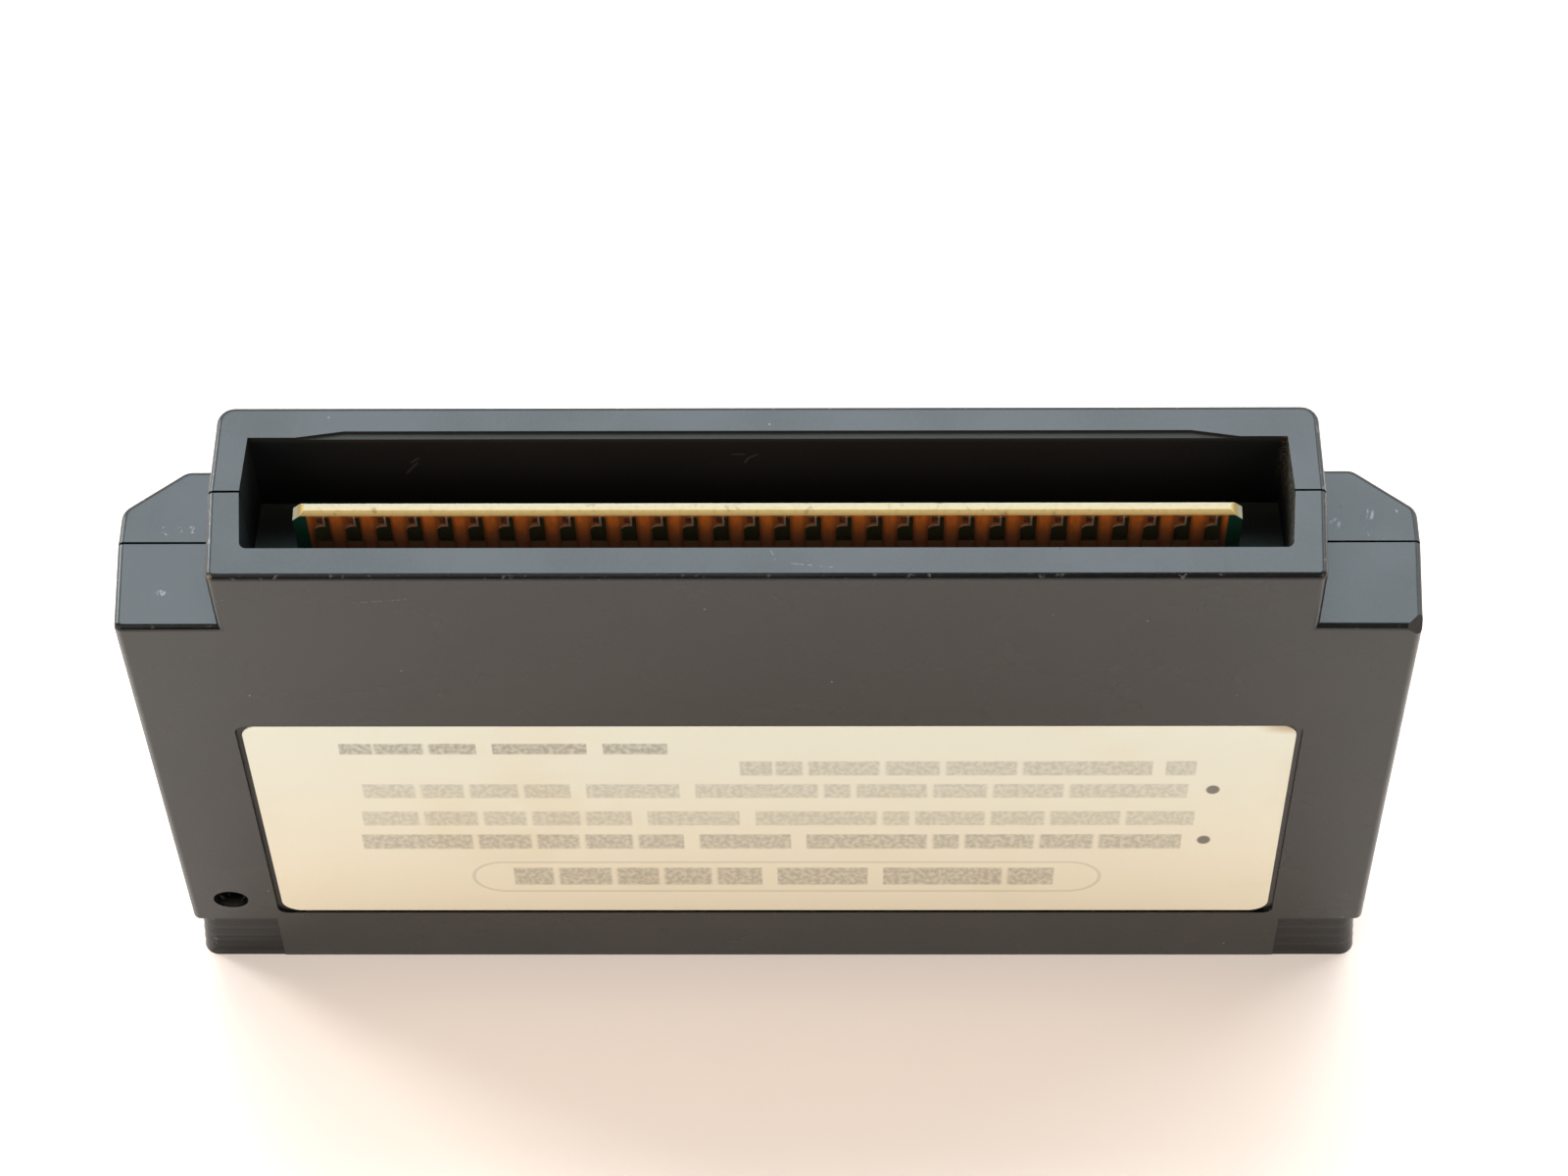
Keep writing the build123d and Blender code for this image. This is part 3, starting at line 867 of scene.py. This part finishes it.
def row_tree():
    """A node tree that repeats an object along X and gives the copies one finish."""
    tree = bpy.data.node_groups.new("row_of_repeats", "GeometryNodeTree")
    socket(tree, "Geometry", "NodeSocketGeometry", "OUTPUT")
    socket(tree, "Piece", "NodeSocketObject")
    socket(tree, "Count", "NodeSocketInt")
    socket(tree, "Pitch", "NodeSocketFloat")
    socket(tree, "First", "NodeSocketFloat")
    socket(tree, "Finish", "NodeSocketMaterial")
    given = tree.nodes.new("NodeGroupInput").outputs
    result = tree.nodes.new("NodeGroupOutput")
    line = tree.nodes.new("GeometryNodeMeshLine")
    start = tree.nodes.new("ShaderNodeCombineXYZ")
    step = tree.nodes.new("ShaderNodeCombineXYZ")
    piece = tree.nodes.new("GeometryNodeObjectInfo")
    copies = tree.nodes.new("GeometryNodeInstanceOnPoints")
    real = tree.nodes.new("GeometryNodeRealizeInstances")
    finish = tree.nodes.new("GeometryNodeSetMaterial")
    for source, target in (
        (given["First"], start.inputs["X"]),
        (given["Pitch"], step.inputs["X"]),
        (given["Count"], line.inputs["Count"]),
        (start.outputs[0], line.inputs["Start Location"]),
        (step.outputs[0], line.inputs["Offset"]),
        (given["Piece"], piece.inputs["Object"]),
        (line.outputs[0], copies.inputs["Points"]),
        (piece.outputs["Geometry"], copies.inputs["Instance"]),
        (copies.outputs[0], real.inputs[0]),
        (real.outputs[0], finish.inputs["Geometry"]),
        (given["Finish"], finish.inputs["Material"]),
        (finish.outputs[0], result.inputs[0]),
    ):
        tree.links.new(source, target)
    return tree


def grown_mesh(name, tree, settings):
    """The plain mesh that a node tree makes with these settings."""
    holder = bpy.data.objects.new(name, bpy.data.meshes.new(name + "_start"))
    bpy.context.scene.collection.objects.link(holder)
    growth = holder.modifiers.new("growth", "NODES")
    growth.node_group = tree
    for item in tree.interface.items_tree:
        if item.in_out == "INPUT" and item.name in settings:
            growth[item.identifier] = settings[item.name]
    return settled_mesh(holder)


repeats = row_tree()
print("row tree with", len(repeats.nodes), "nodes")

# %% [markdown]
# ## Outlines of a finger
# Each finger has a broad pad with an arched top and a narrow tail that ran on to the plating bar. A pale
# strip, a painted highlight for the lit edge of the plating, follows the arch and the tail, and a dark
# spot lies on the laminate beside the tail. Each of the three is a thin flat plate with its own outline,
# as plating is.

# %% Outlines of a finger
arch_height = 1.4
arch_reach = 0.8
arch_drop = 0.5
arch_steps = 5
tail_width = 0.33
# The pale strip along each pad's arch and tail is a painted highlight for the lit edge of the plating.
highlight_width = 0.17
dark_spot_height = 0.85
dark_spot_inset = 0.28
finger_half = finger_width / 2
finger_top = contacts_high.z
finger_foot = contacts_low.z
tail_x = finger_half - tail_width


def arch_points():
    """The finger's arched shoulder, from its left side to the foot of its tail."""
    level = finger_top - arch_height
    middle_x = -finger_half + arch_reach
    points = []
    for number in range(arch_steps + 1):
        angle = math.pi - number * math.pi / 2 / arch_steps
        rise = arch_drop * math.sin(angle) - arch_drop
        points.append((middle_x + arch_reach * math.cos(angle), level + rise))
    return points + [(tail_x, level)]


def pad_outline():
    """The pad and its tail in one."""
    corners = [(finger_half, finger_top), (finger_half, finger_foot), (-finger_half, finger_foot)]
    return corners + arch_points() + [(tail_x, finger_top)]


def highlight_outline():
    """The painted highlight on the lit edge that follows the pad's arch and the left side of its tail.
    """
    outer_x = tail_x - highlight_width
    lower = arch_points()
    upper = [(x, z + highlight_width) for x, z in lower[:-1]] + [(outer_x, lower[-1][1] + highlight_width)]
    return lower + [(tail_x, finger_top), (outer_x, finger_top)] + upper[::-1]


def dark_spot_outline():
    """The dark spot beside the lip's tail, under the board's bevel."""
    left = -finger_half + dark_spot_inset
    beside_lip = tail_x - highlight_width
    low = finger_top - dark_spot_height
    return [(left, low), (beside_lip, low), (beside_lip, finger_top), (left, finger_top)]


def plate_object(name, outline, y_low, y_high, mirrored):
    """A flat plate with this outline (x, z), between two depths, in millimetres."""
    work = bmesh.new()
    sign = -1 if mirrored else 1
    back = [work.verts.new((sign * x * mm, y_low * mm, z * mm)) for x, z in outline]
    front = [work.verts.new((sign * x * mm, y_high * mm, z * mm)) for x, z in outline]
    work.faces.new(back)
    work.faces.new(front)
    for number in range(len(outline)):
        after = (number + 1) % len(outline)
        work.faces.new((back[number], back[after], front[after], front[number]))
    bmesh.ops.recalc_face_normals(work, faces=work.faces)
    mesh = bpy.data.meshes.new(name)
    work.to_mesh(mesh)
    work.free()
    plate = bpy.data.objects.new(name, mesh)
    bpy.context.scene.collection.objects.link(plate)
    return plate


print("finger outline with", len(pad_outline()), "corners")

# %% [markdown]
# ## Plated fingers
# The gold is bright but worn, and mirrors the dark slot wall. The lower end of each pad is painted
# brown, dull and not metal, as painted shade from the slot's near wall. One plate of each kind is made
# for each face of the tongue, mirrored on the front, and the tree repeats it into a single mesh.

# %% Plated fingers
# The lower end of each pad is painted brown and dull: painted shade from the slot's near wall.
pad_shade_heights = (63.0, 63.6)
pad_shade_brown = (0.26, 0.11, 0.05)


def worn_gold():
    """The gold of a pad, painted brown and dull at its lower end as shade."""
    finish = Finish("worn_gold")
    rub = finish.noise(0.4, detail=2, stretch=(3, 1, 0.3))
    # Painted shade: the lower end of each pad turns brown, dull and not metal.
    pad_shade = finish.fall(finish.z, *pad_shade_heights)
    gold = finish.mix(rub, (0.28, 0.18, 0.07), (0.42, 0.28, 0.11))
    finish.set("Base Color", finish.mix(pad_shade, gold, pad_shade_brown))
    finish.set("Metallic", finish.minus(1.0, pad_shade))
    finish.set("Roughness", finish.ramp(pad_shade, 0.0, 1.0, 0.15, 0.6))
    return finish.material


def edge_highlight():
    """A pale strip along a pad's arch and tail: a painted highlight where the plating's edge catches
    light.
    """
    finish = Finish("painted_lip_highlight", metallic=0.2)
    rub = finish.noise(0.25, detail=3)
    finish.set("Base Color", finish.mix(rub, (0.34, 0.18, 0.10), (0.55, 0.36, 0.25)))
    return finish.material


def tarnish():
    """A dark, mottled spot on the laminate beside a tail."""
    # The laminate beside each tail is painted dark and mottled.
    finish = Finish("darkened_laminate", roughness=0.6)
    stain = finish.ramp(finish.noise(0.3, detail=3), 0.4, 0.7)
    finish.set("Base Color", finish.mix(stain, (0.06, 0.022, 0.010), (0.26, 0.075, 0.02)))
    return finish.material


finger_plates = (
    ("pads", pad_outline(), worn_gold()),
    # The lips are pale plates: a painted highlight on the plating's lit edge.
    ("lips", highlight_outline(), edge_highlight()),
    ("tarnish", dark_spot_outline(), tarnish()),
)
for row in ("rear_contacts", "front_contacts"):
    low, high = (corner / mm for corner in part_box(row))
    for suffix, outline, finish in finger_plates:
        plate = plate_object("finger", outline, low.y, high.y, row == "front_contacts")
        row_mesh = grown_mesh(row, repeats, {
            "Piece": plate,
            "Count": finger_count,
            "Pitch": finger_pitch * mm,
            "First": (low.x + finger_half) * mm,
            "Finish": finish,
        })
        bpy.data.objects.remove(plate)
        piece = add_piece(row + "_" + suffix, row_mesh, [row])
        print(piece.name, len(row_mesh.polygons), "faces, pitch", round(finger_pitch, 3), "mm")

# %% [markdown]
# ## Inside the case
# The memories, their leads and the two capacitors are closed in, and only show when the case is opened.
# They keep their solids' meshes, with plain finishes for moulded resin, tin and dipped ceramic.

# %% Inside the case
def grained(name, dark, light, grain_size, roughness, metallic=0.0):
    """A simple finish: one colour that wanders between two, with a fine grain."""
    finish = Finish(name, roughness=roughness, metallic=metallic)
    cloud = finish.noise(grain_size, detail=4)
    finish.set("Base Color", finish.mix(cloud, dark, light))
    finish.bump(cloud, 0.02, 0.4)
    return finish.material


resin = grained("moulded_resin", (0.018, 0.018, 0.019), (0.035, 0.034, 0.034), 0.4, 0.6)
tin = grained("tinned_metal", (0.50, 0.50, 0.48), (0.72, 0.71, 0.68), 0.5, 0.32, metallic=1.0)
ceramic = grained("dipped_ceramic", (0.42, 0.20, 0.06), (0.58, 0.32, 0.11), 1.2, 0.4)
for memory in ("program", "character"):
    dress(memory + "_rom", resin)
    dress(memory + "_rom_leads", tin)
    dress(memory + "_capacitor", ceramic)
    dress(memory + "_capacitor_leads", tin)
print("inner parts dressed")
